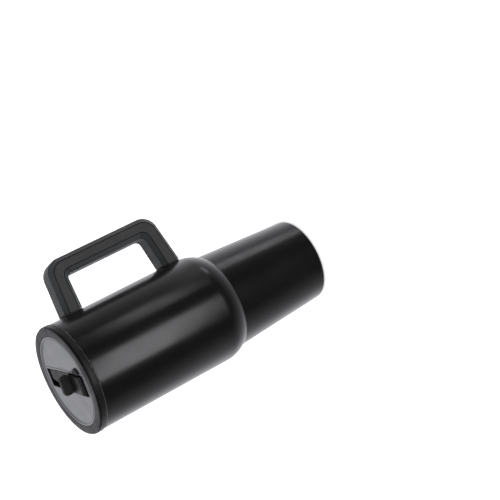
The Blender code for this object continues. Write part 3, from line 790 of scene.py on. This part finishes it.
def lid_floor():
    """The plate that closes the lid underneath, with a shallow ring groove and two holes."""
    edge, groove_out, groove_in, groove_z = SKIRT_IN - GAP, 30.0, 26.4, FLOOR_BASE + 0.4
    corners = [(0, FLOOR_TOP), (edge, FLOOR_TOP), (edge, FLOOR_BASE), (groove_out, FLOOR_BASE),
               (groove_out - 0.6, groove_z), (groove_in + 0.6, groove_z), (groove_in, FLOOR_BASE),
               (0, FLOOR_BASE)]
    plate = turned("lid_floor_plate", rounded(corners, 0.3, 3, closed=False), materials["lid_black"],
                   in_lid(), solid=True)
    combine(plate, cutter("floor_sip_tool", SIP_BORE_R, in_lid(*SIP)))
    combine(plate, cutter("floor_vent_tool", 1.5, in_lid(*VENT)))
    settle(plate)
    stands_for(plate, "lid", "lid_black", "lid_floor")


def sip_grommet():
    """The silicone tube from the tray's shelf down through the floor, with a collar under the tray."""
    outer, collar = SIP_BORE_R - GAP, SIP_BORE_R + 1.2
    top, tip = WELL_SHELF - 0.6, FLOOR_BASE - 1.0
    collar_top = WELL_BASE - GAP
    collar_low = collar_top - 1.2
    corners = [(outer, top), (outer, collar_top), (collar, collar_top), (collar, collar_low),
               (outer, collar_low), (outer, tip), (SPOUT_R, tip), (SPOUT_R, top)]
    grommet = turned("sip_grommet", rounded(corners, 0.35, 4), materials["silicone"], in_lid(*SIP), SMALL)
    stands_for(grommet, "lid", "silicone", "drink_grommet")


def vent_plug():
    """The small silicone valve in the floor: a head above, a stem and a flap below."""
    stem, head, flap, head_top = 1.2, 2.1, 3.0, FLOOR_TOP + 1.2
    corners = [(0, head_top), (head, head_top), (head, FLOOR_TOP + GAP), (stem, FLOOR_TOP + GAP),
               (stem, FLOOR_BASE - GAP), (flap, FLOOR_BASE - GAP), (flap - 0.4, FLOOR_BASE - 1.1),
               (0, FLOOR_BASE - 1.3)]
    vent = turned("vent_plug", rounded(corners, 0.25, 3, closed=False), materials["silicone"],
                  in_lid(*VENT), SMALL, solid=True)
    stands_for(vent, "lid", "silicone", "vent_valve")


def seal_rings():
    """The two silicone seals in the skirt's grooves, each with one lip against the liner."""
    lip, root, tall = LINER_IN - 0.35, GROOVE_R + GAP, GROOVE_H / 2 - GAP
    for name, middle in GROOVES.items():
        corners = [(root, middle + tall), (SKIRT_R + 0.2, middle + tall), (lip, middle + 0.45),
                   (lip, middle - 0.1), (SKIRT_R + 0.2, middle - tall), (root, middle - tall)]
        seal = turned(name + "_ring", rounded(corners, 0.25, 4), materials["silicone"], in_lid())
        stands_for(seal, "lid_seals", "silicone", name)


def pin_ear():
    """The low half-round cover over the pin's end, beside the slot."""
    ear = rounded(arc(EAR_X, slot_half(EAR_X) + SLOT_EASE, EAR_R, 0, 180, 40), 0.4, 3)
    cover = prism("pin_ear", ear, WELL_TOP + GAP, EAR_TOP, materials["lid_black"], in_lid())
    soften(cover, 0.5, 5)
    settle(cover)
    stands_for(cover, "lid", "lid_black", "pin_cover")


# ---------------------------------------------------------------- flip closure

def closure_lever():
    """The rocker: a flat arm, a rounded hump behind the tab and a barrel round the hinge pin."""
    crease = TAB_BACK + 0.5
    hump = rounded([(crease, ARM_TOP), (crease, 0.3), (14.0, 0.8), (20.0, 1.4), (26.0, 2.0), (30.4, 2.0),
                    (33.4, 0.8), (34.5, -1.7), (34.5, -4.6)], 9.0, 8, closed=False)[1:]
    barrel = arc(HINGE_X, HINGE_Z, BARREL_R, 5, -35, 20)
    side = [(ARM_END, ARM_TOP), (crease, ARM_TOP)] + hump + barrel
    side += [(HINGE_X - 4.0, HINGE_Z - 5.2), (14.0, -6.4), (8.0, ARM_BOTTOM), (ARM_END, ARM_BOTTOM)]
    side = [(x - HINGE_X, z - HINGE_Z) for x, z in side]
    wide = slot_half(HINGE_X) - LEVER_EASE
    lever = prism("closure_lever", side, -wide, wide, materials["lever_black"], across_hinge())
    narrow = slot_half(ARM_END) - LEVER_EASE
    plan = [(ARM_END, -2.0), (-6.0, -slot_half(-6.0) + LEVER_EASE), (SLOT_RIGHT, -wide), (SLOT_RIGHT, wide),
            (TAB_FRONT, slot_half(TAB_FRONT) - LEVER_EASE), (ARM_END, narrow)]
    limit = prism("lever_plan_tool", rounded(plan, 1.5, 6), -CUT_REACH, CUT_REACH, None, in_lid())
    bore = cutter("lever_bore_tool", PIN_R + 0.06, across_hinge())
    combine(lever, limit, "INTERSECT")
    combine(lever, bore)
    soften(lever, 0.45, 4, 40)
    settle(lever)
    stands_for(lever, "flip_closure", "lever_black", "flip_lever")


def closure_tab():
    """The upright rubber tab that the thumb pushes, wider above its neck."""
    neck, base, corner = TAB_NECK_HALF, ARM_TOP + GAP, TAB_CORNER
    neck_top, wing = 0.4, 1.1
    face = [(-neck, base), (neck, base), (neck, neck_top), (TAB_HALF, wing)]
    face += arc(TAB_HALF - corner, TAB_TOP - corner, corner, 0, 90, 20)
    face += arc(corner - TAB_HALF, TAB_TOP - corner, corner, 90, 180, 20)
    face += [(-TAB_HALF, wing), (-neck, neck_top)]
    face = [(y + TAB_SHIFT, z) for y, z in face]
    stand_up = Matrix.Rotation(math.pi / 2, 4, "Z") @ Matrix.Rotation(math.pi / 2, 4, "X")
    tab = prism("closure_tab", face, TAB_FRONT, TAB_BACK, materials["tab_rubber"], in_lid() @ stand_up)
    soften(tab, 1.1, 6, 50)
    settle(tab)
    stands_for(tab, "flip_closure", "tab_rubber", "thumb_tab")


def closure_plug():
    """The rubber stopper under the arm's end: a shoulder on the grommet and a tip inside it."""
    top, seat, tip = ARM_BOTTOM - GAP, WELL_SHELF + 0.6, WELL_SHELF - 3.4
    corners = [(0, top), (STOPPER_R, top), (STOPPER_R, seat), (SPOUT_R - 0.4, seat),
               (SPOUT_R - 0.4, tip + 1.2), (SPOUT_R - 1.2, tip), (0, tip)]
    plug = turned("closure_plug", rounded(corners, 0.4, 4, closed=False), materials["stopper_rubber"],
                  in_lid(*SIP), SMALL, solid=True)
    stands_for(plug, "flip_closure", "stopper_rubber", "lever_stopper")


# ---------------------------------------------------------------- hidden CAD nodes, floor, light, camera

def dress_hidden_nodes():
    """CAD nodes whose shape is already right keep it, and take a finished material."""
    finishes = {"hidden_steel": ("seal_bead", "getter", "bracket_upper", "bracket_lower",
                                 "screw_upper", "screw_lower"),
                "foot_rubber": ("leg_pad_upper", "leg_pad_lower"),
                "pin_steel": ("hinge_pin",),
                "nylon": ("washer_front", "washer_back")}
    for finish, nodes in finishes.items():
        for node in nodes:
            for slot in frame["nodes"][node].material_slots:
                slot.material = materials[finish]


def floor():
    """A large pale floor. Shiny surfaces look past it, at the studio beyond."""
    shape = bmesh.new()
    bmesh.ops.create_grid(shape, x_segments=8, y_segments=8, size=6.0)
    mesh = to_mesh(shape, "floor")
    ground = bpy.data.objects.new("floor", mesh)
    bpy.context.scene.collection.objects.link(ground)
    n = Nodes("floor_paper", 0.9)
    n.link(n.blend(n.noise(3.0, 3.0), (0.93, 0.93, 0.93), (0.90, 0.90, 0.90)), "Base Color")
    n.set("Specular IOR Level", 0.1)
    n.set("Emission Color", (1.0, 1.0, 1.0, 1.0))
    n.set("Emission Strength", 0.5)
    mesh.materials.append(n.material)
    ground.visible_glossy = False
    ground.visible_shadow = False


def studio_world():
    """White surroundings; in reflections, a white backdrop that fades to a dark room."""
    world = bpy.data.worlds.new("studio")
    bpy.context.scene.world = world
    world.use_nodes = True
    tree = world.node_tree
    nodes, links = tree.nodes, tree.links
    background = nodes["Background"]
    place = nodes.new("ShaderNodeTexCoord")
    facing = nodes.new("ShaderNodeVectorMath")
    facing.operation = "DOT_PRODUCT"
    facing.inputs[1].default_value = CAMERA_FORWARD
    links.new(place.outputs["Generated"], facing.inputs[0])
    ramp = nodes.new("ShaderNodeValToRGB")
    shift = nodes.new("ShaderNodeMapRange")
    shift.inputs["From Min"].default_value = -1.0
    shift.inputs["From Max"].default_value = 1.0
    links.new(facing.outputs["Value"], shift.inputs["Value"])
    links.new(shift.outputs["Result"], ramp.inputs["Fac"])
    stops = ((-1.0, 0.015), (-0.2, 0.045), (0.0, 0.24), (0.22, 0.44), (0.5, 0.72), (0.75, BACKDROP))
    elements = ramp.color_ramp.elements
    while len(elements) < len(stops):
        elements.new(0.5)
    for element, (where, value) in zip(elements, stops):
        element.position = (where + 1) / 2
        element.color = (*(tint * value / BACKDROP for tint in (0.985, 0.985, 1.03)), 1)
    gain = nodes.new("ShaderNodeVectorMath")
    gain.operation = "SCALE"
    gain.inputs["Scale"].default_value = BACKDROP
    links.new(ramp.outputs["Color"], gain.inputs[0])
    path = nodes.new("ShaderNodeLightPath")
    choose = nodes.new("ShaderNodeMix")
    choose.data_type = "RGBA"
    colour_socket(choose.inputs, "A_Color").default_value = (1.08, 1.08, 1.08, 1)
    links.new(gain.outputs["Vector"], colour_socket(choose.inputs, "B_Color"))
    links.new(path.outputs["Is Glossy Ray"], choose.inputs["Factor"])
    links.new(colour_socket(choose.outputs, "Result_Color"), background.inputs["Color"])


def softbox(name, direction, width, length, power, along):
    """A rectangular light in a direction from the cup, facing it; along is the way its length lies."""
    light = bpy.data.lights.new(name, "AREA")
    light.shape = "RECTANGLE"
    light.size = width
    light.size_y = length
    light.energy = power
    light.color = (0.97, 0.97, 1.0)
    obj = bpy.data.objects.new(name, light)
    bpy.context.scene.collection.objects.link(obj)
    back = direction.normalized()
    tall = (along - back * along.dot(back)).normalized()
    wide = tall.cross(back)
    axes = Matrix((wide, tall, back)).transposed().to_4x4()
    obj.matrix_world = Matrix.Translation(LIGHT_AIM + back * LIGHT_DISTANCE) @ axes
    obj.visible_camera = False


def lights():
    """Two slim boxes towards the camera's up for the long streaks, a large one to its right and a
    broad one over the lid."""
    across = CAMERA_RIGHT * 0.77 - CAMERA_FORWARD * 0.64
    front = CAMERA_UP * 0.934 + CAMERA_RIGHT * 0.127 - CAMERA_FORWARD * 0.333
    softbox("softbox_front", front, 0.32, 1.1, 3.6, across)
    back = CAMERA_UP * 0.975 + CAMERA_RIGHT * 0.140 + CAMERA_FORWARD * 0.145
    softbox("softbox_back", back, 0.32, 0.85, 2.5, across)
    side = CAMERA_RIGHT * 0.664 + CAMERA_UP * 0.184 - CAMERA_FORWARD * 0.725
    softbox("softbox_side", side, 0.95, 2.2, 27.0, CAMERA_UP - CAMERA_RIGHT * 0.35)
    softbox("softbox_top", Vector((-0.25, 0.05, 0.967)), 1.2, 1.2, 14.0, CAMERA_UP)


def camera():
    """The one camera, from which the studio's lights and reflections are laid out."""
    data = bpy.data.cameras.new("camera")
    data.lens = CAMERA_LENS
    data.sensor_width = CAMERA_SENSOR
    obj = bpy.data.objects.new("camera", data)
    bpy.context.scene.collection.objects.link(obj)
    axes = Matrix((CAMERA_RIGHT, CAMERA_UP, -CAMERA_FORWARD)).transposed().to_4x4()
    obj.matrix_world = Matrix.Translation(Vector(CAMERA_PLACE) * MM) @ axes
    bpy.context.scene.camera = obj


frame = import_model()
visible = collection("tumbler")
cutters = collection("cutters")
materials = make_materials()

cup_shell()
cup_liner()
cup_rim()
base_plate()
foot()
saddle = cutter("saddle_tool", LEG_R, low=60, high=280, steps=ROUND)
handle()
lid_collar()
lid_face()
slot_tray()
lid_floor()
sip_grommet()
vent_plug()
seal_rings()
pin_ear()
closure_lever()
closure_tab()
closure_plug()
dress_hidden_nodes()
for tool in list(cutters.objects):
    bpy.data.objects.remove(tool, do_unlink=True)

floor()
studio_world()
lights()
camera()
bpy.context.scene.view_settings.view_transform = "Standard"
